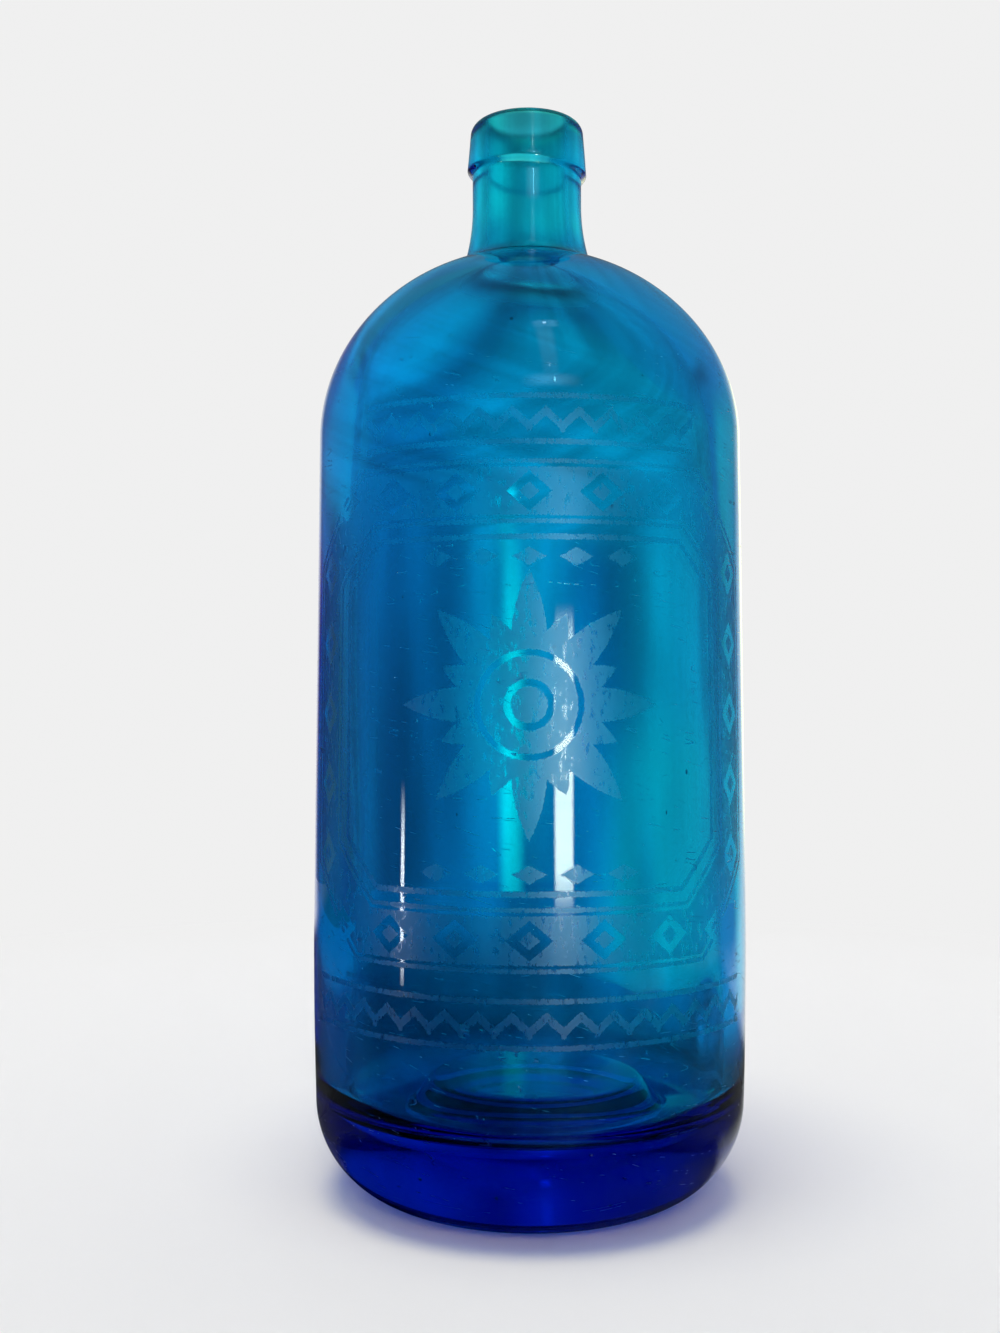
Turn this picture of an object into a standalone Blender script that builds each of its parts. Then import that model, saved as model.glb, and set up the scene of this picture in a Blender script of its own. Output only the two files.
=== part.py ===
# Seltzer bottle: the glass body of a siphon, standing empty and without its head.
# It is one piece of thick blown glass, turned about +Z, with its foot on z = 0. Units are metres.
# blender --background --python part.py

import math

import bmesh
import bpy

MM = 0.001

# Outside of the body, from the foot up
FOOT_WIDTH = 4.6 * MM  # the flat ring that the bottle stands on
PUSH_UP = 3.2 * MM  # how far the underside is pressed up inside that ring
HEEL_RADIUS = 21.9 * MM
HEEL_SLOPE = math.radians(8.6)  # of the heel where it meets the foot ring
HEEL_DIAMETER = 97.1 * MM  # of the body where the heel's curve ends
BELLY_DIAMETER = 98.4 * MM  # the widest place
BELLY_HEIGHT = 59.5 * MM
SHOULDER_DIAMETER = 96.2 * MM
SHOULDER_HEIGHT = 169.9 * MM  # where the wall ends and the dome begins
DOME_RISE = 43.6 * MM  # from there to where the dome would close on the axis

# Neck and lip
NECK_FOOT_DIAMETER = 29.4 * MM
WAIST_DIAMETER = 25.2 * MM
WAIST_DROP = 7.0 * MM  # from the lip's underside down to the top of the neck's flare
LIP_DIAMETER = 27.7 * MM  # at the collar's lower edge
LIP_TOP_DIAMETER = 26.2 * MM
LIP_HEIGHT = 12.2 * MM
LIP_UNDERSIDE = 1.6 * MM  # height over which the neck steps out to the collar
LIP_ROUNDING = 2.7 * MM
OVERALL_HEIGHT = 244.3 * MM

# Inside
WALL = 6.5 * MM
DOME_WALL = 6.2 * MM  # thickness at the crown of the dome
MOUTH_DIAMETER = 17.5 * MM
THROAT_DIAMETER = 18.6 * MM  # of the bore at the neck's foot
FLOOR_HEIGHT = 20.0 * MM  # of the gutter round the floor
FLOOR_CORNER = 8.0 * MM
KICK_HEIGHT = 26.5 * MM  # of the raised middle of the floor
KICK_DIAMETER = 53.0 * MM
KICK_SLOPE_WIDTH = 9.0 * MM

# How far each softened corner runs back along the two curves that it joins
NECK_FOOT_BLEND = 2.2 * MM
THROAT_BLEND = 6.5 * MM
MOUTH_BLEND = 0.7 * MM

TURN_STEPS = 56  # faces round the bottle, a multiple of four

GLASS_BLUE = (0.0, 0.24, 0.46, 1.0)
GLASS_ROUGHNESS = 0.03
GLASS_IOR = 1.52


def clear_scene():
    for thing in list(bpy.data.objects):
        bpy.data.objects.remove(thing, do_unlink=True)


def line(start, end, steps):
    """Points from start to end, both included."""
    return [
        tuple(a + (b - a) * i / steps for a, b in zip(start, end))
        for i in range(steps + 1)
    ]


def ellipse(centre, across, up, start, end, steps):
    """Points of an ellipse about centre, between two angles counted from the horizontal."""
    angles = [start + (end - start) * i / steps for i in range(steps + 1)]
    return [
        (centre[0] + across * math.cos(a), centre[1] + up * math.sin(a)) for a in angles
    ]


def eased(share):
    """0 to 1 with a level start and end."""
    return (1 - math.cos(math.pi * share)) / 2


def trimmed(points, reach):
    """The points with a length of reach taken off their end."""
    points = list(points)
    while len(points) > 2 and math.dist(points[-1], points[-2]) <= reach:
        reach -= math.dist(points[-1], points[-2])
        points.pop()
    kept = 1 - reach / math.dist(points[-1], points[-2])
    points[-1] = tuple(a + (b - a) * kept for a, b in zip(points[-2], points[-1]))
    return points


def blended(first, second, reach, steps):
    """Two curves that meet in a corner, as one curve with the corner softened."""
    corner = first[-1]
    first = trimmed(first, reach)
    second = trimmed(second[::-1], reach)[::-1]
    bend = []
    for i in range(1, steps):
        t = i / steps
        bend.append(
            tuple(
                (1 - t) ** 2 * a + 2 * t * (1 - t) * c + t**2 * b
                for a, c, b in zip(first[-1], corner, second[0])
            )
        )
    return first + bend + second


def body_outside():
    """From the middle of the underside up to the neck's foot."""
    heel_r = HEEL_DIAMETER / 2 - HEEL_RADIUS
    heel_z = HEEL_RADIUS * math.cos(HEEL_SLOPE)
    foot_r = heel_r + HEEL_RADIUS * math.sin(HEEL_SLOPE)
    hollow_r = foot_r - FOOT_WIDTH
    # The push-up is a shallow dish: level in the middle, steepest at the ring
    underside = [
        (hollow_r * share, PUSH_UP * (1 - share**2)) for share in (0, 0.35, 0.65, 0.88)
    ]
    foot = [(hollow_r, 0), (foot_r, 0)]
    heel = ellipse(
        (heel_r, heel_z),
        HEEL_RADIUS,
        HEEL_RADIUS,
        HEEL_SLOPE - math.pi / 2,
        0,
        9,
    )
    belly = []
    for share in (0.3, 0.65, 1):
        swell = (BELLY_DIAMETER - HEEL_DIAMETER) / 2 * (1 - (1 - share) ** 2)
        height = heel_z + (BELLY_HEIGHT - heel_z) * share
        belly.append((HEEL_DIAMETER / 2 + swell, height))
    shoulder = (SHOULDER_DIAMETER / 2, SHOULDER_HEIGHT)
    wall = line(belly[-1], shoulder, 3)
    dome_end = math.acos(NECK_FOOT_DIAMETER / SHOULDER_DIAMETER)
    dome = ellipse(
        (0, SHOULDER_HEIGHT), SHOULDER_DIAMETER / 2, DOME_RISE, 0, dome_end, 11
    )
    return underside + foot + heel[1:] + belly + wall[1:-1] + dome


def neck_outside(foot):
    """From the neck's foot up to the flat rim. The flare is an arc that stands upright at the waist."""
    lip_bottom = OVERALL_HEIGHT - LIP_HEIGHT
    waist_r = WAIST_DIAMETER / 2
    waist_z = lip_bottom - WAIST_DROP
    out, up = foot[0] - waist_r, waist_z - foot[1]
    flare_radius = (out**2 + up**2) / (2 * out)
    sweep = math.asin(up / flare_radius)
    flare = ellipse(
        (waist_r + flare_radius, waist_z),
        -flare_radius,
        -flare_radius,
        sweep,
        0,
        4,
    )
    step_out = [
        (
            waist_r + (LIP_DIAMETER / 2 - waist_r) * eased(share),
            lip_bottom + LIP_UNDERSIDE * (share - 0.5),
        )
        for share in (0, 0.25, 0.5, 0.75, 1)
    ]
    rounding = ellipse(
        (LIP_TOP_DIAMETER / 2 - LIP_ROUNDING, OVERALL_HEIGHT - LIP_ROUNDING),
        LIP_ROUNDING,
        LIP_ROUNDING,
        0,
        math.pi / 2,
        4,
    )
    return flare + step_out + rounding


def neck_inside(rim):
    """From the flat rim down the bore to its lower end in the dome."""
    cavity_r = SHOULDER_DIAMETER / 2 - WALL
    throat_angle = math.acos(THROAT_DIAMETER / 2 / cavity_r)
    throat_z = SHOULDER_HEIGHT + (DOME_RISE - DOME_WALL) * math.sin(throat_angle)
    mouth = (MOUTH_DIAMETER / 2, OVERALL_HEIGHT)
    bore = line(mouth, (THROAT_DIAMETER / 2, throat_z), 3)
    return blended([rim, mouth], bore, MOUTH_BLEND, 3)[1:]


def cavity():
    """From the bore's lower end down the wall to the middle of the floor."""
    cavity_r = SHOULDER_DIAMETER / 2 - WALL
    throat_angle = math.acos(THROAT_DIAMETER / 2 / cavity_r)
    dome = ellipse(
        (0, SHOULDER_HEIGHT), cavity_r, DOME_RISE - DOME_WALL, throat_angle, 0, 10
    )
    corner_z = FLOOR_HEIGHT + FLOOR_CORNER
    wall_r = BELLY_DIAMETER / 2 - WALL
    wall = line(dome[-1], (wall_r, BELLY_HEIGHT), 2) + [(wall_r, corner_z)]
    corner = ellipse(
        (wall_r - FLOOR_CORNER, corner_z),
        FLOOR_CORNER,
        FLOOR_CORNER,
        0,
        -math.pi / 2,
        5,
    )
    kick = [
        (
            KICK_DIAMETER / 2 + KICK_SLOPE_WIDTH * (0.5 - share),
            FLOOR_HEIGHT + (KICK_HEIGHT - FLOOR_HEIGHT) * eased(share),
        )
        for share in (0, 0.25, 0.5, 0.75, 1)
    ]
    return dome + wall[1:] + corner[1:] + kick + [(0, KICK_HEIGHT)]


def bottle_profile():
    """The whole section, from the middle of the underside round to the middle of the floor."""
    body = body_outside()
    outside = blended(body, neck_outside(body[-1]), NECK_FOOT_BLEND, 3)
    inside = blended(neck_inside(outside[-1]), cavity(), THROAT_BLEND, 5)
    return outside + inside


def turned(name, profile):
    """A closed body made by spinning a section that starts and ends on the axis."""
    bm = bmesh.new()
    points = [bm.verts.new((r, 0, z)) for r, z in profile]
    edges = [bm.edges.new(pair) for pair in zip(points, points[1:])]
    bmesh.ops.spin(
        bm,
        geom=points + edges,
        cent=(0, 0, 0),
        axis=(0, 0, 1),
        angle=2 * math.pi,
        steps=TURN_STEPS,
        use_merge=True,
    )
    bmesh.ops.remove_doubles(bm, verts=bm.verts, dist=0.00001)
    bmesh.ops.recalc_face_normals(bm, faces=bm.faces)
    mesh = bpy.data.meshes.new(name)
    bm.to_mesh(mesh)
    bm.free()
    mesh.shade_smooth()
    mesh.set_sharp_from_angle(angle=math.radians(35))
    thing = bpy.data.objects.new(name, mesh)
    bpy.context.scene.collection.objects.link(thing)
    return thing


def blue_glass():
    material = bpy.data.materials.new("blue_glass")
    material.use_nodes = True
    shader = material.node_tree.nodes["Principled BSDF"]
    shader.inputs["Base Color"].default_value = GLASS_BLUE
    shader.inputs["Metallic"].default_value = 0
    shader.inputs["Roughness"].default_value = GLASS_ROUGHNESS
    shader.inputs["IOR"].default_value = GLASS_IOR
    shader.inputs["Transmission Weight"].default_value = 1
    return material


clear_scene()
bottle = turned("glass_bottle", bottle_profile())
bottle.data.materials.append(blue_glass())
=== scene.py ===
import bpy
import math
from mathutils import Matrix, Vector, noise


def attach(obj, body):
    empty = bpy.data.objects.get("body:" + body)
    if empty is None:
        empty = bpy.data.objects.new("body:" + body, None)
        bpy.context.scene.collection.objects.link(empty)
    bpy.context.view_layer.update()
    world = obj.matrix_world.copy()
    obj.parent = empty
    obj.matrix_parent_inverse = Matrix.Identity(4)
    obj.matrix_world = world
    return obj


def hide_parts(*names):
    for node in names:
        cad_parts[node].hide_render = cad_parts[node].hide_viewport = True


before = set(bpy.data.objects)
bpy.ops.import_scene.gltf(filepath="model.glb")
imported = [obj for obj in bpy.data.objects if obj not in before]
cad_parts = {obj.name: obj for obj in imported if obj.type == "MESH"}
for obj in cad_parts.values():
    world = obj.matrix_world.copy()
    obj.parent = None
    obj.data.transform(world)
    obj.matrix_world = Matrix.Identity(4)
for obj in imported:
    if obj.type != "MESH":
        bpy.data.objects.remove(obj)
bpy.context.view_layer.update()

mm = 0.001


def deselectAll():
    if bpy.context.mode != "OBJECT":
        bpy.ops.object.mode_set(mode="OBJECT")
    bpy.ops.object.select_all(action="DESELECT")


def onlySelect(piece):
    deselectAll()
    piece.select_set(True)
    bpy.context.view_layer.objects.active = piece


def line(start, end, steps):
    return [tuple(a + (b - a) * i / steps for a, b in zip(start, end)) for i in range(steps + 1)]


def ellipse(centre, across, up, start, end, steps):
    turns = [start + (end - start) * i / steps for i in range(steps + 1)]
    return [(centre[0] + across * math.cos(t), centre[1] + up * math.sin(t)) for t in turns]


def eased(share):
    return (1 - math.cos(math.pi * share)) / 2


def trimmed(points, reach):
    points = list(points)
    while len(points) > 2 and math.dist(points[-1], points[-2]) <= reach:
        reach -= math.dist(points[-1], points[-2])
        points.pop()
    kept = 1 - reach / math.dist(points[-1], points[-2])
    points[-1] = tuple(a + (b - a) * kept for a, b in zip(points[-2], points[-1]))
    return points


def blended(first, second, reach, steps):
    corner = first[-1]
    first = trimmed(first, reach)
    second = trimmed(second[::-1], reach)[::-1]
    bend = []
    for i in range(1, steps):
        t = i / steps
        bend.append(tuple(
            (1 - t) ** 2 * a + 2 * t * (1 - t) * c + t ** 2 * b
            for a, c, b in zip(first[-1], corner, second[0])
        ))
    return first + bend + second


def addTurned(name, points, sides, mergeReach):  # spins an outline of radii and heights round the axis
    deselectAll()
    bpy.ops.mesh.primitive_plane_add(size=1 * mm, location=(0, 0, 0))
    piece = bpy.context.object
    piece.name = piece.data.name = name
    bpy.ops.object.mode_set(mode="EDIT")
    bpy.ops.mesh.select_all(action="SELECT")
    bpy.ops.mesh.merge(type="CENTER")
    bpy.ops.transform.translate(value=(points[0][0], 0, points[0][1]))
    for (r, z), (nextR, nextZ) in zip(points, points[1:]):
        bpy.ops.mesh.extrude_vertices_move(TRANSFORM_OT_translate={"value": (nextR - r, 0, nextZ - z)})
    bpy.ops.mesh.select_all(action="SELECT")
    bpy.ops.mesh.spin(steps=sides, angle=math.tau, center=(0, 0, 0), axis=(0, 0, 1))
    bpy.ops.mesh.select_all(action="SELECT")
    bpy.ops.mesh.remove_doubles(threshold=mergeReach)
    bpy.ops.object.mode_set(mode="OBJECT")
    return piece


bottle = {
    "sides": 256,
    "mergeReach": 0.002 * mm,
    "capRadius": 1.5 * mm,
    # outside
    "footWidth": 4.6 * mm,
    "pushUp": 3.2 * mm,
    "heelRadius": 21.9 * mm,
    "heelSlope": math.radians(8.6),
    "heelR": 48.55 * mm,
    "bellyR": 49.15 * mm,
    "bellyZ": 59.5 * mm,
    "shoulderR": 48.1 * mm,
    "shoulderZ": 169.9 * mm,
    "domeRise": 43.6 * mm,
    "neckFootR": 14.7 * mm,
    "waistR": 12.6 * mm,
    "waistDrop": 7.0 * mm,
    "lipR": 13.8 * mm,
    "lipTopR": 13.1 * mm,
    "lipHeight": 12.2 * mm,
    "lipUnderside": 1.6 * mm,
    "lipRounding": 2.7 * mm,
    "height": 244.25 * mm,
    # inside
    "wall": 6.5 * mm,
    "domeWall": 4.2 * mm,
    "mouthR": 8.75 * mm,
    "throatR": 9.3 * mm,
    "floorZ": 20.0 * mm,
    "floorCorner": 8.0 * mm,
    "kickZ": 26.5 * mm,
    "kickR": 26.5 * mm,
    "kickSlope": 7.5 * mm,
    # softened corners
    "neckFootBlend": 2.2 * mm,
    "throatBlend": 10 * mm,
    "mouthBlend": 1.2 * mm,
    "footBlend": 0.5 * mm,
    # how many straight steps draw each stretch
    "undersideSteps": 10,
    "ringSteps": 3,
    "heelSteps": 28,
    "bellySteps": 10,
    "wallSteps": 24,
    "domeSteps": 36,
    "flareSteps": 12,
    "neckSteps": 4,
    "lipSteps": 8,
    "collarSteps": 6,
    "roundingSteps": 10,
    "rimSteps": 2,
    "boreSteps": 20,
    "lowWallSteps": 8,
    "cornerSteps": 14,
    "kickSteps": 12,
    "floorSteps": 10,
    "footBlendSteps": 3,
    "neckBlendSteps": 8,
    "mouthBlendSteps": 5,
    "throatBlendSteps": 10,
}


def bottleSection(b):
    heelR = b["heelR"] - b["heelRadius"]
    heelZ = b["heelRadius"] * math.cos(b["heelSlope"])
    footR = heelR + b["heelRadius"] * math.sin(b["heelSlope"])
    hollowR = footR - b["footWidth"]
    steps = b["undersideSteps"]
    underside = [
        (b["capRadius"] + (hollowR - b["capRadius"]) * i / steps, b["pushUp"] * (1 - (i / steps) ** 2))
        for i in range(steps + 1)
    ]
    ring = line((hollowR, 0), (footR, 0), b["ringSteps"])
    foot = blended(underside, ring, b["footBlend"], b["footBlendSteps"])
    heelStart = b["heelSlope"] - math.pi / 2
    heel = ellipse((heelR, heelZ), b["heelRadius"], b["heelRadius"], heelStart, 0, b["heelSteps"])
    heel = blended(foot, heel, b["footBlend"], b["footBlendSteps"])
    belly = []
    steps = b["bellySteps"]
    for i in range(1, steps + 1):
        swell = (b["bellyR"] - b["heelR"]) * (1 - (1 - i / steps) ** 2)
        belly.append((b["heelR"] + swell, heelZ + (b["bellyZ"] - heelZ) * i / steps))
    wall = line(belly[-1], (b["shoulderR"], b["shoulderZ"]), b["wallSteps"])
    domeEnd = math.acos(b["neckFootR"] / b["shoulderR"])
    dome = ellipse((0, b["shoulderZ"]), b["shoulderR"], b["domeRise"], 0, domeEnd, b["domeSteps"])
    body = heel + belly + wall[1:-1] + dome

    lipZ = b["height"] - b["lipHeight"]
    waistZ = lipZ - b["waistDrop"]
    out, up = b["neckFootR"] - b["waistR"], waistZ - dome[-1][1]
    flareR = (out ** 2 + up ** 2) / (2 * out)
    flareStart = math.asin(up / flareR)
    flare = ellipse((b["waistR"] + flareR, waistZ), -flareR, -flareR, flareStart, 0, b["flareSteps"])
    neck = line(flare[-1], (b["waistR"], lipZ - b["lipUnderside"] / 2), b["neckSteps"])
    stepOut = []
    steps = b["lipSteps"]
    for i in range(steps + 1):
        r = b["waistR"] + (b["lipR"] - b["waistR"]) * eased(i / steps)
        stepOut.append((r, lipZ + b["lipUnderside"] * (i / steps - 0.5)))
    rounding = ellipse(
        (b["lipTopR"] - b["lipRounding"], b["height"] - b["lipRounding"]),
        b["lipRounding"], b["lipRounding"], 0, math.pi / 2, b["roundingSteps"],
    )
    collar = line(stepOut[-1], rounding[0], b["collarSteps"])
    top = flare + neck[1:] + stepOut[1:] + collar[1:-1] + rounding
    outside = blended(body, top, b["neckFootBlend"], b["neckBlendSteps"])

    cavityR = b["shoulderR"] - b["wall"]
    throatTurn = math.acos(b["throatR"] / cavityR)
    throatZ = b["shoulderZ"] + (b["domeRise"] - b["domeWall"]) * math.sin(throatTurn)
    mouth = (b["mouthR"], b["height"])
    rim = line(rounding[-1], mouth, b["rimSteps"])
    bore = line(mouth, (b["throatR"], throatZ), b["boreSteps"])
    bore = blended(rim, bore, b["mouthBlend"], b["mouthBlendSteps"])
    innerRise = b["domeRise"] - b["domeWall"]
    innerDome = ellipse((0, b["shoulderZ"]), cavityR, innerRise, throatTurn, 0, b["domeSteps"])
    inside = blended(bore[1:], innerDome, b["throatBlend"], b["throatBlendSteps"])
    cornerZ = b["floorZ"] + b["floorCorner"]
    wallR = b["bellyR"] - b["wall"]
    innerWall = line(inside[-1], (wallR, b["bellyZ"]), b["wallSteps"])
    lowWall = line((wallR, b["bellyZ"]), (wallR, cornerZ), b["lowWallSteps"])
    corner = ellipse(
        (wallR - b["floorCorner"], cornerZ),
        b["floorCorner"], b["floorCorner"], 0, -math.pi / 2, b["cornerSteps"],
    )
    kick = []
    steps = b["kickSteps"]
    for i in range(steps + 1):
        r = b["kickR"] + b["kickSlope"] * (0.5 - i / steps)
        kick.append((r, b["floorZ"] + (b["kickZ"] - b["floorZ"]) * eased(i / steps)))
    floor = line(kick[-1], (b["capRadius"], b["kickZ"]), b["floorSteps"])
    inside += innerWall[1:] + lowWall[1:] + corner[1:] + kick + floor[1:]
    return outside + inside


def addBottle(b, hand):
    piece = addTurned("blownBottle", bottleSection(b), b["sides"], b["mergeReach"])
    bpy.ops.object.mode_set(mode="EDIT")
    bpy.ops.mesh.select_all(action="SELECT")
    bpy.ops.mesh.normals_make_consistent(inside=False)
    bpy.ops.object.mode_set(mode="OBJECT")
    handFinish(piece, b, hand)
    bpy.ops.object.shade_smooth()
    addSeeds(piece, b)
    size = tuple(round(v / mm, 2) for v in piece.dimensions)
    print("bottle:", len(piece.data.vertices), "points, size", size)
    return piece


# Gas bubbles in the glass
seeds = {
    "segments": 14,
    "rings": 9,
    # turn from the front in degrees, height, depth under the surface and radius in mm, how long it is
    "places": [
        (-4.7, 188, 0.9, 0.34, 1.0), (21, 150, 2.6, 0.22, 1.8), (-33, 132, 1.6, 0.2, 1.5),
        (6, 121.5, 1.2, 0.24, 1.2), (44, 96, 3.0, 0.26, 2.0), (-18, 88, 2.2, 0.18, 1.6),
        (-51, 71, 2.8, 0.22, 1.4), (13, 54, 3.2, 0.2, 1.3), (30, 177, 2.0, 0.2, 1.0),
        (-26, 165, 3.4, 0.24, 1.7), (97, 140, 2.0, 0.3, 1.6), (128, 83, 2.4, 0.25, 2.2),
        (176, 118, 1.8, 0.32, 1.5), (-150, 62, 2.6, 0.26, 1.3), (-104, 108, 3.0, 0.28, 2.0),
        (-140, 156, 1.5, 0.2, 1.0), (-9, 12, 6.0, 0.4, 0.8), (25, 10, 9.0, 0.3, 0.7),
        (-32, 14, 8.0, 0.35, 0.8), (150, 11, 7.0, 0.4, 0.8),
    ],
}


def addSeeds(piece, b):
    for turn, height, depth, radius, long in seeds["places"]:
        z = height * mm
        if z < b["heelRadius"]:
            below = b["heelRadius"] - z
            outer = b["heelR"] - b["heelRadius"] + math.sqrt(b["heelRadius"] ** 2 - below ** 2)
        elif z < b["shoulderZ"]:
            outer = b["shoulderR"]
        else:
            outer = b["shoulderR"] * math.sqrt(1 - ((z - b["shoulderZ"]) / b["domeRise"]) ** 2)
        a, away = math.radians(turn), outer - depth * mm
        deselectAll()
        bpy.ops.mesh.primitive_uv_sphere_add(
            segments=seeds["segments"], ring_count=seeds["rings"], radius=radius * mm,
            location=(away * math.sin(a), -away * math.cos(a), z),
        )
        seed = bpy.context.object
        bpy.ops.transform.resize(value=(1, 1, long))
        bpy.ops.object.transform_apply(location=True, rotation=True, scale=True)
        bpy.ops.object.mode_set(mode="EDIT")
        bpy.ops.mesh.select_all(action="SELECT")
        bpy.ops.mesh.flip_normals()
        bpy.ops.object.mode_set(mode="OBJECT")
        bpy.ops.object.shade_smooth()
        onlySelect(piece)
        seed.select_set(True)
        bpy.ops.object.join()
    print("seeds:", len(seeds["places"]))


# How hand work shows in the glass
handWork = {
    "seed": 3.7,  # shifts the noise of the waves
    "axisReach": 1 * mm,  # points nearer to the axis stay where they are
    "footReach": 1 * mm,  # the foot ring stays flat up to this height
    "floorMargin": 1 * mm,
    "neckLean": -0.5 * mm,
    "cavityShift": 0.8 * mm,
    "lipSlant": 0.7 * mm,
    "lipSlantReach": 4 * mm,
    "outerWave": 0.05 * mm,
    "outerWaveSize": 22 * mm,
    "innerWave": 0.40 * mm,
    "innerWaveSize": 38 * mm,
    "innerWaveClimb": 0.6,  # below 1 the waves are drawn out along the height
    "innerWaveReach": 20 * mm,  # the waves fade towards the axis from this radius
    "neckCalm": 0.8,  # how much weaker they are in the neck
    "domeWave": 2.0 * mm,
    "domeWaveSize": 24 * mm,
    "domeWaveSeed": 2,
    "domeWaveRadius": 20 * mm,
    "domeWaveClimb": 0.35,
    "domeWaveDrop": 30 * mm,  # the swirls begin this far below the shoulder
    "domeWaveRise": 34 * mm,
    "domeWaveInner": 11 * mm,
    "domeWaveFade": 10 * mm,
    "domeTwist": 22,  # radians per metre of height
    # drips down the inner wall: turn from the front in degrees, height, half width, half length, depth
    "drips": [
        (53, 43 * mm, 3.2 * mm, 7 * mm, 0.55 * mm),
        (-64, 72 * mm, 6.0 * mm, 26 * mm, 0.35 * mm),
        (140, 60 * mm, 5.0 * mm, 20 * mm, 0.5 * mm),
    ],
}


def middleOfWall(b, z):
    if z <= b["shoulderZ"]:
        return b["bellyR"] - b["wall"] / 2
    rise = min((z - b["shoulderZ"]) / (b["domeRise"] - b["domeWall"] / 2), 1)
    dome = (b["shoulderR"] - b["wall"] / 2) * math.sqrt(1 - rise ** 2)
    return max(dome, (b["throatR"] + b["waistR"]) / 2)


def domeSwirl(b, hand, x, y, z, r):
    climb = z - b["shoulderZ"]
    turned = math.atan2(y, x) + hand["domeTwist"] * climb
    radius = hand["domeWaveRadius"]
    place = Vector((radius * math.cos(turned), radius * math.sin(turned), z * hand["domeWaveClimb"]))
    n = noise.noise(place / hand["domeWaveSize"] + Vector((hand["seed"], hand["domeWaveSeed"], 0)))
    start = eased(min(1, (climb + hand["domeWaveDrop"]) / hand["domeWaveRise"]))
    return hand["domeWave"] * n * start * eased(min(1, (r - hand["domeWaveInner"]) / hand["domeWaveFade"]))


def handFinish(piece, b, hand):
    lipZ = b["height"] - b["lipHeight"]
    for v in piece.data.vertices:
        x, y, z = v.co
        r = math.hypot(x, y)
        if r < hand["axisReach"]:
            continue
        upNeck = eased(min(1, max(0, (z - b["shoulderZ"]) / (lipZ - b["shoulderZ"]))))
        isOuter = r > middleOfWall(b, z) or z < b["floorZ"] - hand["floorMargin"]
        side = hand["neckLean"] * upNeck
        drop = 0
        if isOuter:
            n = noise.noise(Vector((x, y, z)) / hand["outerWaveSize"] + Vector((hand["seed"], 0, 0)))
            shift = hand["outerWave"] * (n - 1) if z > hand["footReach"] else 0
            if abs(z - lipZ) < hand["lipSlantReach"]:
                share = 1 - (abs(z - lipZ) / hand["lipSlantReach"]) ** 2
                drop = -hand["lipSlant"] * (x / b["lipR"]) * share
        else:
            place = Vector((x, y, z * hand["innerWaveClimb"]))
            n = noise.noise(place / hand["innerWaveSize"] + Vector((0, hand["seed"], 0)))
            shift = hand["innerWave"] * n * min(1, r / hand["innerWaveReach"])
            shift *= 1 - hand["neckCalm"] * upNeck
            if z > b["shoulderZ"] - hand["domeWaveDrop"] and r > hand["domeWaveInner"]:
                shift += domeSwirl(b, hand, x, y, z, r)
            for turn, height, wide, long, deep in hand["drips"]:
                across = (math.remainder(math.atan2(x, -y) - math.radians(turn), math.tau)) * r / wide
                along = (z - height) / long
                shift -= deep * math.exp(-across * across - along * along)
            side += hand["cavityShift"] * (1 - upNeck)
        k = 1 + shift / r
        v.co = (x * k + side, y * k, z + drop)


class Wire:  # a shader socket that takes part in sums
    def __init__(self, tree, socket=None):
        self.tree = tree
        self.socket = socket

    def node(self, kind, settings={}, values={}, out=0):
        made = self.tree.nodes.new(kind)
        for name, value in settings.items():
            setattr(made, name, value)
        for name, value in values.items():
            if isinstance(value, Wire):
                self.tree.links.new(value.socket, made.inputs[name])
            else:
                made.inputs[name].default_value = value
        return Wire(self.tree, made.outputs[out])

    def maths(self, operation, *values):
        return self.node("ShaderNodeMath", {"operation": operation}, dict(enumerate(values)))

    def __add__(self, other):
        return self.maths("ADD", self, other)

    def __sub__(self, other):
        return self.maths("SUBTRACT", self, other)

    def __rsub__(self, other):
        return self.maths("SUBTRACT", other, self)

    def __mul__(self, other):
        return self.maths("MULTIPLY", self, other)

    def __truediv__(self, other):
        return self.maths("DIVIDE", self, other)

    def __abs__(self):
        return self.maths("ABSOLUTE", self)

    __radd__ = __add__
    __rmul__ = __mul__

    def least(self, other):
        return self.maths("MINIMUM", self, other)

    def most(self, other):
        return self.maths("MAXIMUM", self, other)

    def split(self):
        parts = self.node("ShaderNodeSeparateXYZ", {}, {0: self}).socket.node.outputs
        return [Wire(self.tree, part) for part in parts]

    def step(self, low, high, outLow=0, outHigh=1):  # an eased step between two values
        return self.node("ShaderNodeMapRange", {"interpolation_type": "SMOOTHSTEP"}, {
            "Value": self, "From Min": low, "From Max": high, "To Min": outLow, "To Max": outHigh,
        })


def lengthOf(x, y):
    return x.maths("SQRT", x * x + y * y)


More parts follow.
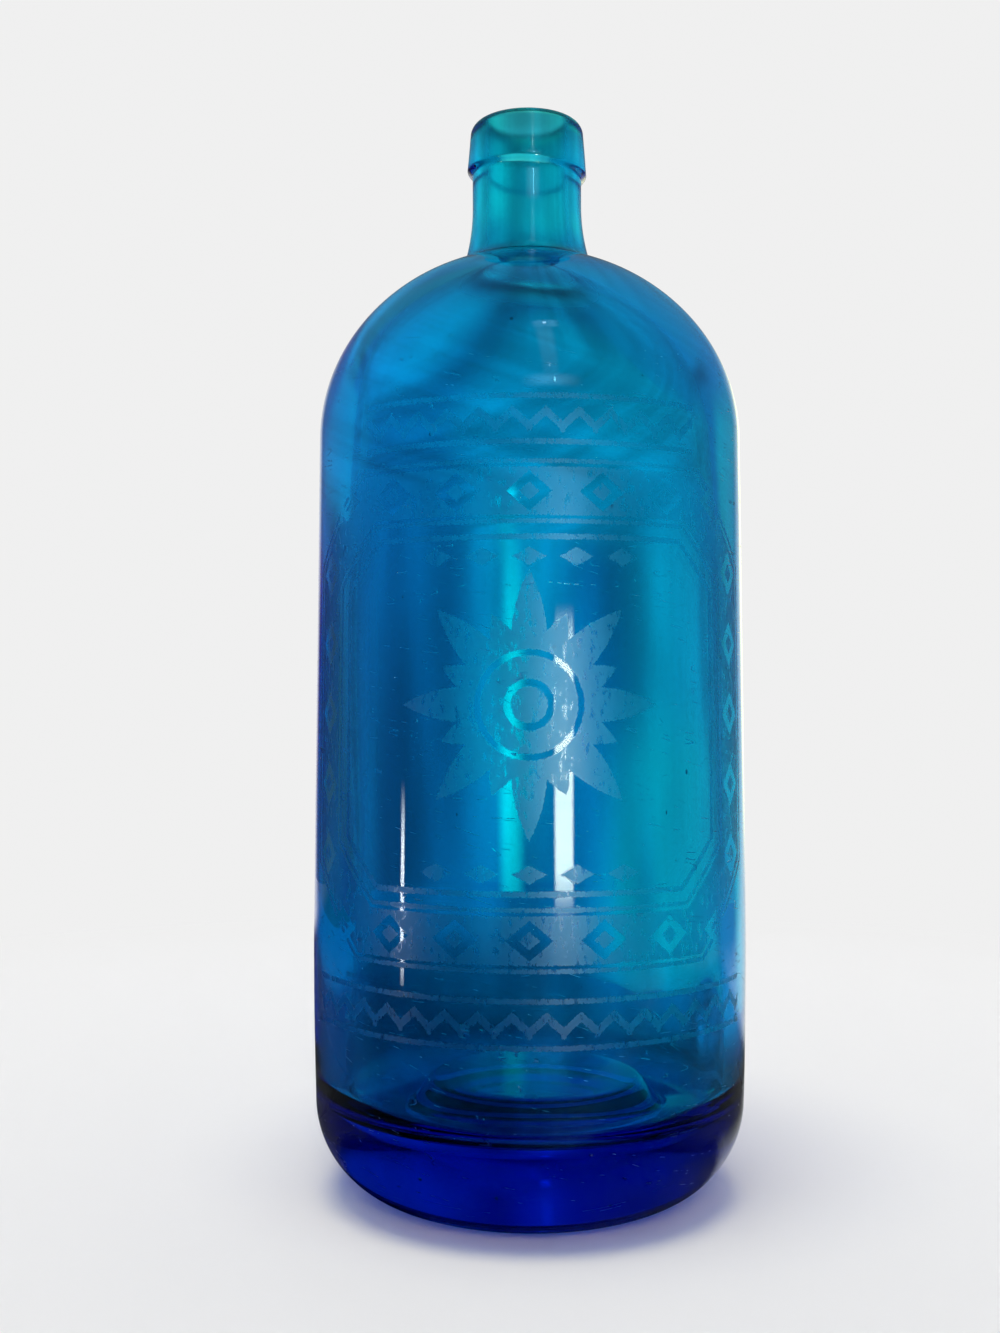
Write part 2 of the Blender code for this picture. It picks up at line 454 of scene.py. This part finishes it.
# The etched ornament on the front, in millimetres round the wall and up it
ornament = {
    "perMetre": 1000,
    "radius": 48.6,
    "middle": 108,
    "softEdge": 0.22,
    "wobble": 0.32,
    "wobbleScales": (260, 310),
    "wobbleDetail": 2,
    "panel": (59, 51, 91),  # half its width, half its height, and the reach of its cut corners
    "diagonal": 0.707,  # turns the reach of a corner into a distance across it
    "bandWidth": 13,
    "gems": (7.5, 4.6, 3.9, 2.9),  # half spacing, half length, half width, slope of their edges
    "gemLine": 1.5,
    "hairlines": (1.3, 0.3),  # how far inside the band, half thickness
    "innerLine": (15.6, 0.6),
    "starCentre": 2,
    "starRays": [(8, 27, 7, 0), (8, 19.5, 8.5, 0.5)],  # how many, outer and inner radius, turn in rays
    "raySlope": 0.6,
    "starRings": [(10.4, 0.6), (4.4, 0.7)],
    "lozengeRow": (31.5, 24, 4.8, 3.5, 1.9),  # height, reach, half spacing, half width, half height
    "lozengeSlope": 1.6,
    "upperStrip": (59, 38, 4.6),  # height, reach, half its height
    "lowerStrip": (-61, 56, 4.6),
    "stripLine": 0.6,
    "zigzag": (3.4, 0.9, 1.5, 1.1),  # half spacing, slope, how far it hangs, half thickness
    "dots": (2.3, 0.6),  # how far they hang, radius
    "wearScale": 90,
    "wearDetail": 5,
    "wearRoughness": 0.62,
    "wear": (0.30, 0.52, 0.45, 1),  # low and high noise, and what is left of the etching at them
    "skin": (44, 45.5),  # the etching begins between these radii, so the inner wall has none
}


def frostMask(maker, o):
    x, y, z = maker.node("ShaderNodeTexCoord", out="Object").split()
    away = lengthOf(x, y) * o["perMetre"]
    wave = [
        maker.node("ShaderNodeTexNoise", {}, {"Scale": scale, "Detail": o["wobbleDetail"]})
        for scale in o["wobbleScales"]
    ]
    u = maker.maths("ARCTAN2", x, 0 - y) * o["radius"] + (wave[0] - 0.5) * o["wobble"] * 2
    v = z * o["perMetre"] - o["middle"] + (wave[1] - 0.5) * o["wobble"] * 2
    au, av = abs(u), abs(v)

    def filled(distance):
        return distance.step(-o["softEdge"], o["softEdge"], 1, 0)

    def repeated(value, half):  # distance to the nearest of a row of centres
        return maker.maths("PINGPONG", value, half)

    width, height, cut = o["panel"]
    corner = (au + av - cut) * o["diagonal"]
    edge = (au - width).most(av - height).most(corner)  # 0 on the panel's edge, negative inside
    half = o["bandWidth"] / 2
    bandOff = abs(edge + half) - half
    band = filled(bandOff)
    spacing, long, wide, slope = o["gems"]
    sideGem = repeated(v, spacing) / long + abs(au - width + half) / wide - 1
    topGem = repeated(u, spacing) / long + abs(av - height + half) / wide - 1
    gem = sideGem.least(topGem) * slope
    gems = filled(gem.most(0 - gem - o["gemLine"]))
    inset, thick = o["hairlines"]
    hairlines = filled((abs(bandOff + inset) - thick).most(edge))
    band = band * (1 - gems) * (1 - hairlines)
    place, thick = o["innerLine"]
    marks = band + filled(abs(edge + place) - thick)

    up = v - o["starCentre"]
    reach = lengthOf(u, up)
    turn = maker.maths("ARCTAN2", u, up)
    star = None
    for rays, outer, inner, start in o["starRays"]:
        side = math.pi / rays
        fall = repeated(turn + start * 2 * side, side) / side
        ray = filled((reach - outer + fall * (outer - inner)) * o["raySlope"])
        star = ray if star is None else star.most(ray)
    for radius, thick in o["starRings"]:
        star = star * (1 - filled(abs(reach - radius) - thick))
    marks = marks + star

    height, limit, spacing, wide, tall = o["lozengeRow"]
    lozenge = filled((repeated(u, spacing) / wide + abs(av - height) / tall - 1) * o["lozengeSlope"])
    marks = marks + lozenge * filled(au - limit)

    spacing, slope, hang, thick = o["zigzag"]
    dotHang, dotRadius = o["dots"]
    for height, limit, tall in (o["upperStrip"], o["lowerStrip"]):
        off = v - height
        lines = filled(abs(abs(off) - tall) - o["stripLine"])
        zigzag = filled(abs(off + hang - repeated(u, spacing) * slope) - thick)
        dots = filled(lengthOf(repeated(u, spacing), off + dotHang) - dotRadius)
        marks = marks + (lines + zigzag + dots) * filled(au - limit)
    worn = maker.node("ShaderNodeTexNoise", {}, {
        "Scale": o["wearScale"], "Detail": o["wearDetail"], "Roughness": o["wearRoughness"],
    })
    return marks.least(1) * worn.step(*o["wear"]) * away.step(*o["skin"])


glass = {
    "ior": 1.51,
    "glossTint": (0.12, 0.48, 0.85, 1),
    "shadowTint": (0.25, 0.55, 0.78, 1),
    "absorbTint": (0.0, 0.896, 0.978, 1),  # what is left of red, green and blue
    "absorbDensity": 600,
    # tint; heights are in metres
    "bodyTint": (0.26, 0.535, 0.655),
    "neckTint": (0.42, 0.70, 0.72),
    "neckRise": (0.209, 0.225),  # the body's tint turns into the neck's between these heights
    "domeRise": (0.145, 0.185),
    "domeShare": 0.2,  # how far it has turned on the dome
    "lipPaintedShade": (0.2365, 0.241, 1, 0.57),  # painted shade on the top of the lip: two heights, and the share of the tint that is left at them
    "neckFootShadeRise": (0.205, 0.209),
    "neckFootPaintedShade": (0.2125, 0.217, 0.2, 0),  # painted shade in the neck's foot: two heights, and how much darker the glass is at them
    # twisted streaks in the tint: partly glass cords, partly painted light, whose twist on the dome draws the
    # light swirls seen through the glass
    "cordsAndPaintedLight": (0.36, 0.64, 0.80, 1.22),  # low and high noise, and the tint's darkest and lightest share
    "cordDetail": 3,
    "cordsRound": 2.6,
    "cordsUp": 9,
    "cordTwist": 62,  # radians per metre
    "cordTwistStart": 0.155,
    "cordTwistRise": 0.042,
    # roughness; a haze has a reach from the axis, a foot and a top
    "roughness": 0.0,
    "mostRoughness": 0.6,
    "frostRoughness": 0.37,
    "hazeRoughness": 0.28,
    "boreHaze": ((0.0112, 0.0118), (0.199, 0.206), (0.2434, 0.2438)),
    "throatHaze": ((0.014, 0.022), (0.188, 0.198), (0.2085, 0.2105)),
    "throatShare": 1.7,
    # fine scratches, in patches on the outside
    "scratchRoughness": 0.3,
    "scratchGrain": (26, 26, 210),
    "scratchSlant": (9, 40),
    "scratchDetail": 1,
    "scratchWidth": (0.001, 0.004, 1, 0),
    "scratchBump": 0.5,
    "scratchDepth": 0.00008,
    "patchScale": 42,
    "patchDetail": 2,
    "patchEdges": (0.54, 0.6),
    "skin": (0.044, 0.0455),  # the scratches begin between these radii
}


def glassMaterial(g):
    material = bpy.data.materials.new("blueGlass")
    material.use_nodes = True
    tree = material.node_tree
    shader = tree.nodes["Principled BSDF"]
    shader.inputs["IOR"].default_value = g["ior"]
    shader.inputs["Specular Tint"].default_value = g["glossTint"]
    shader.inputs["Transmission Weight"].default_value = 1
    maker = Wire(tree)
    x, y, z = maker.node("ShaderNodeTexCoord", out="Object").split()
    away = lengthOf(x, y)

    def haze(reach, foot, top):
        return away.step(*reach, 1, 0) * z.step(*foot) * z.step(*top, 1, 0)

    hazes = haze(*g["boreHaze"]).most(haze(*g["throatHaze"]) * g["throatShare"])
    twist = (z - g["cordTwistStart"]).most(0).least(g["cordTwistRise"]) * g["cordTwist"]
    turn = maker.maths("ARCTAN2", y, x) + twist
    around = maker.node("ShaderNodeCombineXYZ", {}, {
        0: maker.maths("COSINE", turn) * g["cordsRound"],
        1: maker.maths("SINE", turn) * g["cordsRound"],
        2: z * g["cordsUp"],
    })
    # glass cords and painted light swirls: lighter and darker streaks in the tint
    cordsAndPaintedLight = maker.node("ShaderNodeTexNoise", {}, {"Vector": around, "Scale": 1, "Detail": g["cordDetail"]})
    cordsAndPaintedLight = cordsAndPaintedLight.step(*g["cordsAndPaintedLight"])
    neck = z.step(*g["neckRise"]).most(z.step(*g["domeRise"]) * g["domeShare"])
    # painted shade: a darker band of tint in the neck's foot
    paintedNeckFootShade = z.step(*g["neckFootShadeRise"]) * z.step(*g["neckFootPaintedShade"])
    # painted shade: the tint is darker on the top of the lip and in the band at the neck's foot
    shade = z.step(*g["lipPaintedShade"]) * (1 - paintedNeckFootShade)
    tints = [(neck * (high - low) + low) * cordsAndPaintedLight * shade for low, high in zip(g["bodyTint"], g["neckTint"])]
    tint = maker.node("ShaderNodeCombineColor", {}, dict(enumerate(tints)))
    tree.links.new(tint.socket, shader.inputs["Base Color"])
    frost = frostMask(maker, ornament) * (g["frostRoughness"] - g["roughness"])
    rough = frost + hazes * g["hazeRoughness"] + g["roughness"]
    scaleX, scaleY, scaleZ = g["scratchGrain"]
    slantX, slantZ = g["scratchSlant"]
    stretched = maker.node("ShaderNodeCombineXYZ", {}, {
        0: x * scaleX + z * slantX, 1: y * scaleY, 2: z * scaleZ + x * slantZ,
    })
    grain = {"Vector": stretched, "Scale": 1, "Detail": g["scratchDetail"]}
    hairs = abs(maker.node("ShaderNodeTexNoise", {}, grain) - 0.5)
    patches = maker.node("ShaderNodeTexNoise", {}, {"Scale": g["patchScale"], "Detail": g["patchDetail"]})
    scratches = hairs.step(*g["scratchWidth"]) * patches.step(*g["patchEdges"]) * away.step(*g["skin"])
    rough = (rough + scratches * g["scratchRoughness"]).least(g["mostRoughness"])
    tree.links.new(rough.socket, shader.inputs["Roughness"])
    dents = maker.node("ShaderNodeBump", {"invert": True}, {
        "Height": scratches, "Strength": g["scratchBump"], "Distance": g["scratchDepth"],
    })
    tree.links.new(dents.socket, shader.inputs["Normal"])
    inside = maker.node("ShaderNodeVolumeAbsorption", {}, {
        "Color": g["absorbTint"], "Density": g["absorbDensity"],
    })
    tree.links.new(inside.socket, tree.nodes["Material Output"].inputs["Volume"])
    isShadow = maker.node("ShaderNodeLightPath", out="Is Shadow Ray")
    clear = maker.node("ShaderNodeBsdfTransparent", {}, {"Color": g["shadowTint"]})
    both = maker.node("ShaderNodeMixShader", {}, {0: isShadow, 1: Wire(tree, shader.outputs[0]), 2: clear})
    tree.links.new(both.socket, tree.nodes["Material Output"].inputs["Surface"])
    print("glass:", len(tree.nodes), "nodes")
    return material


# The pale paper bowl round the bottle, in metres
studio = {
    "paperColour": (0.87, 0.87, 0.87, 1),
    "paperRoughness": 0.9,
    "paperLevel": 0.87,
    "airColour": (0.12, 0.12, 0.125, 1),
    "radius": 1.15,
    "bendRadius": 0.4,
    "bendSteps": 14,
    "wallHeight": 2.4,
    "sides": 96,
    "mergeReach": 0.1 * mm,
    # plain paper that takes shadows inside the first radius, a glowing backdrop past the second
    "litFloor": (0.22, 0.42),
    # mirror rays find the whole level only at the back, between these turns and below these heights: painted
    # shade on the paper's front and sides
    "rollStart": -0.34,  # the turns are in radians round this place on Y
    "leftEdge": (-0.42, -0.28),
    "rightEdge": (0.36, 0.54),
    "mirroredTop": (0.3, 0.7),
    "mirroredFront": 0.15,  # the share of it that they find elsewhere
}


def paperMaterial(s):
    material = bpy.data.materials.new("palePaper")
    material.use_nodes = True
    tree = material.node_tree
    shader = tree.nodes["Principled BSDF"]
    shader.inputs["Base Color"].default_value = s["paperColour"]
    shader.inputs["Roughness"].default_value = s["paperRoughness"]
    shader.inputs["Specular IOR Level"].default_value = 0
    maker = Wire(tree)
    x, y, z = maker.node("ShaderNodeTexCoord", out="Object").split()
    away = lengthOf(x, y)
    turn = maker.maths("ARCTAN2", x, y - s["rollStart"])  # the pale paper widens towards the back
    back = turn.step(*s["leftEdge"]) * turn.step(*s["rightEdge"], 1, 0) * z.step(*s["mirroredTop"], 1, 0)
    kinds = ("Is Camera Ray", "Is Glossy Ray", "Is Transmission Ray")
    straight, glossy, through = [maker.node("ShaderNodeLightPath", out=kind) for kind in kinds]
    seen = (straight + glossy + through).least(1)
    mirrored = glossy * (1 - through)
    # painted shade: mirror rays find the paper's glow darker at its front and sides
    level = (1 - mirrored * (1 - back) * (1 - s["mirroredFront"])) * s["paperLevel"]
    colour = maker.node("ShaderNodeCombineXYZ", {}, {0: level, 1: level, 2: level})
    glow = maker.node("ShaderNodeEmission", {}, {"Color": colour, "Strength": 1})
    share = seen * away.step(*s["litFloor"])
    both = maker.node("ShaderNodeMixShader", {}, {0: share, 1: Wire(tree, shader.outputs[0]), 2: glow})
    tree.links.new(both.socket, tree.nodes["Material Output"].inputs["Surface"])
    return material


def addStudioBowl(s):
    r, bend = s["radius"], s["bendRadius"]
    curve = ellipse((r - bend, bend), bend, bend, -math.pi / 2, 0, s["bendSteps"])
    points = [(0, 0)] + curve + [(r, s["wallHeight"])]
    bowl = addTurned("studioBowl", points, s["sides"], s["mergeReach"])
    bpy.ops.object.shade_smooth()
    bowl.visible_shadow = False
    bowl.data.materials.append(paperMaterial(s))
    print("bowl:", len(bowl.data.vertices), "points")


# Glowing and dark sheets round the bottle, which the camera doesn't see and which cast no shadow.
# The turn is in degrees from straight behind the bottle to the right. Lengths are in metres.
# The size is the width and the height, or the depth where a sheet lies flat.
# A sheet stands facing the bottle. A lean below 0 tips its top towards the bottle, and 90 lays it flat.
# Level 1 is white. Cover 1 hides what is behind. Soft is the share of each half over which a sheet fades out.
# "glass" is met only by rays that go through the bottle, "mirror" only by mirror rays, the others by both.
sheets = [
    {"name": "rightRearGlow", "turn": 18, "distance": 0.55, "height": 0.18,
     "size": (0.26, 0.38), "level": 2.1, "colour": (1, 1, 0.62)},
    {"name": "rightGlow", "meets": "glass", "turn": 39, "distance": 0.54, "height": 0.17,
     "size": (0.32, 0.44), "level": 1.9, "colour": (0.8, 1, 0.6)},
    {"name": "rightBandGlow", "meets": "glass", "turn": 12, "distance": 0.54, "height": 0.28,
     "size": (0.34, 0.2), "level": 1.75, "colour": (1, 1, 0.72)},
    {"name": "leftBandGlow", "meets": "glass", "turn": -44, "distance": 0.5, "height": 0.55,
     "size": (0.24, 0.76), "level": 1.0, "colour": (0.4, 1, 0.75), "lean": -25},
    {"name": "upperGlow", "meets": "glass", "turn": -12, "distance": 0.5, "height": 0.74,
     "size": (0.5, 0.3), "level": 1.3, "colour": (0.8, 1, 0.85), "lean": -45},
    {"name": "rightUpperGlow", "meets": "glass", "turn": 38, "distance": 0.5, "height": 0.60,
     "size": (0.36, 0.46), "level": 0.9, "colour": (1, 1, 0.9), "lean": -32},
    {"name": "middleGlow", "turn": -2.2, "distance": 0.6, "height": 0.17,
     "size": (0.15, 0.46), "level": 2.1, "colour": (1, 1, 0.72), "soft": 0.9},
    {"name": "streakGlow", "turn": -2.6, "distance": 0.55, "height": 0.08,
     "size": (0.03, 0.34), "level": 6, "colour": (1, 1, 0.45), "soft": 0.9},
    {"name": "glintGlow", "meets": "glass", "turn": -2.6, "distance": 0.55, "height": 0.247,
     "size": (0.026, 0.045), "level": 6, "colour": (1, 1, 0.55), "soft": 0.9},
    {"name": "leftSwirlGlow", "meets": "glass", "turn": -23, "distance": 0.5, "height": 0.43,
     "size": (0.36, 0.30), "level": 2.0, "colour": (0.4, 1, 0.8), "lean": -30},
    {"name": "rightSwirlGlow", "meets": "glass", "turn": 20, "distance": 0.5, "height": 0.41,
     "size": (0.30, 0.26), "level": 1.6, "colour": (0.8, 1, 0.85), "lean": -25},
    {"name": "leftNeckFlag", "meets": "glass", "turn": -55, "distance": 0.48, "height": 0.39,
     "size": (0.26, 0.09), "level": 0, "cover": 0.42, "soft": 0.9},
    {"name": "rightNeckFlag", "meets": "glass", "turn": 54, "distance": 0.48, "height": 0.39,
     "size": (0.26, 0.09), "level": 0, "cover": 0.42, "soft": 0.9},
    {"name": "leftCornerFlag", "meets": "glass", "turn": -41, "distance": 0.46, "height": 0.165,
     "size": (0.26, 0.2), "level": 0, "cover": 0.5, "soft": 0.95},
    {"name": "rightCornerFlag", "meets": "glass", "turn": 51, "distance": 0.46, "height": 0.165,
     "size": (0.22, 0.18), "level": 0, "cover": 0.5, "soft": 0.95},
    {"name": "leftFlag", "meets": "glass", "turn": -46, "distance": 0.52, "height": 0.08,
     "size": (0.44, 0.34), "level": 0.45, "colour": (0.05, 1, 0.7), "soft": 0.9},
    {"name": "leftRearFlag", "meets": "glass", "turn": -19, "distance": 0.56, "height": 0.06,
     "size": (0.24, 0.36), "level": 0, "cover": 0.5, "soft": 0.9},
    {"name": "rightLowGlow", "meets": "glass", "turn": 25, "distance": 0.26, "height": 0.05,
     "size": (0.20, 0.14), "level": 2.8, "colour": (1, 1, 0.5), "cover": 0.8},
    # Dark cards lying on the floor, met only by rays through or off the glass: painted shade of the floor
    # round the bottle, standing in for its shadow
    {"name": "rearFloorShadowCard", "turn": -12, "distance": 0.23, "height": 0.001,
     "size": (0.28, 0.36), "level": 0.1, "colour": (0.2, 1, 1), "cover": 0.62, "lean": 90},
    {"name": "leftFloorShadowCard", "meets": "mirror", "turn": -90, "distance": 0.3, "height": 0.0015,
     "size": (0.8, 0.7), "level": 0, "cover": 0.92, "soft": 0.25, "lean": 90},
    {"name": "leftFloorShade", "meets": "glass", "turn": -44, "distance": 0.2, "height": 0.0003,
     "size": (0.3, 0.36), "level": 0.2, "colour": (0.1, 0.35, 1), "cover": 0.78, "soft": 0.5, "lean": 90},
    {"name": "rightFloorShadowCard", "meets": "mirror", "turn": 90, "distance": 0.20, "height": 0.0015,
     "size": (0.3, 0.32), "level": 0, "cover": 0.88, "soft": 0.3, "lean": 90},
    {"name": "rightFloorShade", "meets": "glass", "turn": 47, "distance": 0.145, "height": 0.0008,
     "size": (0.22, 0.24), "level": 0, "cover": 0.78, "soft": 0.7, "lean": 90},
    {"name": "leftEdgeFlag", "meets": "mirror", "turn": -38, "distance": 0.6, "height": 0.07,
     "size": (0.34, 0.28), "level": 0, "cover": 0.7, "soft": 0.5},
    {"name": "neckGlow", "meets": "mirror", "turn": 168, "distance": 0.5, "height": 0.4,
     "size": (0.32, 0.11), "level": 6, "colour": (1, 0.5, 0.36), "soft": 0.9},
    {"name": "neckStrip", "meets": "mirror", "turn": 166.5, "distance": 0.49, "height": 0.395,
     "size": (0.014, 0.05), "level": 40, "colour": (1, 0.8, 0.6), "soft": 0.9},
    # painted shade: dark cards on the floor in front of the bottle and under its heel, met only by mirror
    # rays, standing in for its contact shadow
    {"name": "frontFloorShadowCard", "meets": "mirror", "turn": 180, "distance": 0.22, "height": 0.0015,
     "size": (0.5, 0.38), "level": 0, "cover": 0.9, "soft": 0.25, "lean": 90},
    {"name": "heelShadowCard", "meets": "mirror", "turn": 180, "distance": 0.055, "height": 0.0004,
     "size": (0.18, 0.11), "level": 0, "cover": 0.88, "soft": 0.2, "lean": 90},
    {"name": "leftShoulderGlow", "meets": "glass", "turn": -46, "distance": 0.55, "height": 0.28,
     "size": (0.46, 0.16), "level": 1.35, "colour": (0.5, 1, 0.78)},
    {"name": "window", "meets": "mirror", "turn": 163.2, "distance": 0.53, "height": 0.085,
     "size": (0.10, 0.17), "level": 150, "colour": (1, 0.3, 0.14), "soft": 0.4},
    {"name": "leftStrip", "meets": "mirror", "turn": -117.5, "distance": 0.3, "height": 0.04,
     "size": (0.014, 0.09), "level": 90, "colour": (1, 0.4, 0.25)},
    {"name": "frontHighGlow", "meets": "mirror", "turn": 168, "distance": 0.5, "height": 0.66,
     "size": (0.12, 0.56), "level": 2, "colour": (1, 0.3, 0.15), "lean": -42},
    {"name": "neckSpot", "meets": "mirror", "turn": 168.5, "distance": 0.5, "height": 0.51,
     "size": (0.016, 0.04), "level": 25, "colour": (1, 0.45, 0.3), "lean": -30, "soft": 0.9},
    {"name": "topGlow", "meets": "mirror", "turn": 165.5, "distance": 0.38, "height": 0.88,
     "size": (0.18, 0.09), "level": 3, "lean": -60},
    {"name": "topSpot", "meets": "mirror", "turn": 166, "distance": 0.36, "height": 0.86,
     "size": (0.025, 0.025), "level": 35, "colour": (1, 0.7, 0.6), "lean": -60},
]


def addSheet(
    name, turn, distance, height, size, level,
    colour=(1, 1, 1), cover=1, soft=0.6, lean=0, meets="both",
):
    deselectAll()
    bpy.ops.mesh.primitive_plane_add(size=1)
    sheet = bpy.context.object
    sheet.name = sheet.data.name = name
    bpy.ops.transform.resize(value=(size[0], size[1], 1))
    bpy.ops.object.transform_apply(location=False, rotation=False, scale=True)
    a = math.radians(turn)
    sheet.location = distance * math.sin(a), distance * math.cos(a), height
    sheet.rotation_euler = math.radians(90 - lean), 0, -a
    sheet.visible_camera = sheet.visible_shadow = sheet.visible_diffuse = False
    sheet.visible_transmission = meets != "mirror"
    sheet.visible_glossy = meets != "glass"
    material = bpy.data.materials.new(name)
    material.use_nodes = True
    tree = material.node_tree
    maker = Wire(tree)
    x, y = maker.node("ShaderNodeTexCoord", out="Object").split()[:2]
    across, up = abs(x) / (size[0] / 2), abs(y) / (size[1] / 2)
    middle = across.step(1 - soft, 1, cover, 0) * up.step(1 - soft, 1, 1, 0)
    glow = maker.node("ShaderNodeEmission", {}, {"Color": (*colour, 1), "Strength": level})
    clear = maker.node("ShaderNodeBsdfTransparent")
    both = maker.node("ShaderNodeMixShader", {}, {0: middle, 1: clear, 2: glow})
    tree.links.new(both.socket, tree.nodes["Material Output"].inputs["Surface"])
    sheet.data.materials.append(material)


suns = [  # angles in degrees; the turn is from behind the camera
    {"name": "frontSun", "energy": 0.55, "height": 33, "turn": 3, "softness": 16},
    {"name": "topSun", "energy": 1.7, "height": 80, "turn": -20, "softness": 30},
]


def lightStudio(s):
    world = bpy.data.worlds.new("studioAir")
    world.use_nodes = True
    bpy.context.scene.world = world
    tree = world.node_tree
    tree.nodes["Background"].inputs["Color"].default_value = s["airColour"]
    maker = Wire(tree, tree.nodes["Background"].outputs[0])
    kinds = ("Is Camera Ray", "Is Transmission Ray")
    straight, through = [maker.node("ShaderNodeLightPath", out=kind) for kind in kinds]
    pale = maker.node("ShaderNodeBackground", {}, {"Color": s["paperColour"]})
    both = maker.node("ShaderNodeMixShader", {}, {0: straight.most(through), 1: maker, 2: pale})
    tree.links.new(both.socket, tree.nodes["World Output"].inputs["Surface"])
    for kind in suns:
        tilt, turn = math.radians(90 - kind["height"]), math.radians(kind["turn"])
        bpy.ops.object.light_add(type="SUN", rotation=(tilt, 0, turn))
        sun = bpy.context.object
        sun.name = kind["name"]
        sun.data.energy = kind["energy"]
        sun.data.angle = math.radians(kind["softness"])
        sun.visible_glossy = sun.visible_transmission = sun.visible_camera = False
    for kind in sheets:
        addSheet(**kind)
    print("light:", len(suns), "suns and", len(sheets), "sheets")


# The camera stands close to the bottle and looks very slightly up
camera = {
    "distance": 340 * mm,
    "height": 111.4 * mm,
    "pitch": 1.21,  # degrees upwards
    "turn": 1.135,  # degrees to the left, so the bottle stands right of the middle
    "focalPixels": 1474,
    "frameHeight": 1333,
    "sensorWidth": 36,
    "clip": (0.01, 20),
}


def addCamera(c):
    data = bpy.data.cameras.new("mainCamera")
    data.sensor_width = c["sensorWidth"]
    data.lens = c["focalPixels"] * data.sensor_width / c["frameHeight"]
    data.clip_start, data.clip_end = c["clip"]
    holder = bpy.data.objects.new("mainCamera", data)
    bpy.context.scene.collection.objects.link(holder)
    holder.location = (0, -c["distance"], c["height"])
    holder.rotation_euler = (math.radians(90 + c["pitch"]), 0, math.radians(c["turn"]))
    bpy.context.scene.camera = holder
    print("camera:", round(data.lens, 1), "mm lens,", round(c["distance"] / mm), "mm from the axis")


# The thick glass needs many bounces
bounces = {
    "max_bounces": 24,
    "transmission_bounces": 24,
    "glossy_bounces": 12,
    "diffuse_bounces": 4,
    "transparent_max_bounces": 24,
}

addCamera(camera)
blown = addBottle(bottle, handWork)
blown.data.materials.append(glassMaterial(glass))
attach(blown, "root")
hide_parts("glass_bottle")
addStudioBowl(studio)
lightStudio(studio)
scene = bpy.context.scene
scene.view_settings.view_transform = "Standard"
for kind, count in bounces.items():
    setattr(scene.cycles, kind, count)
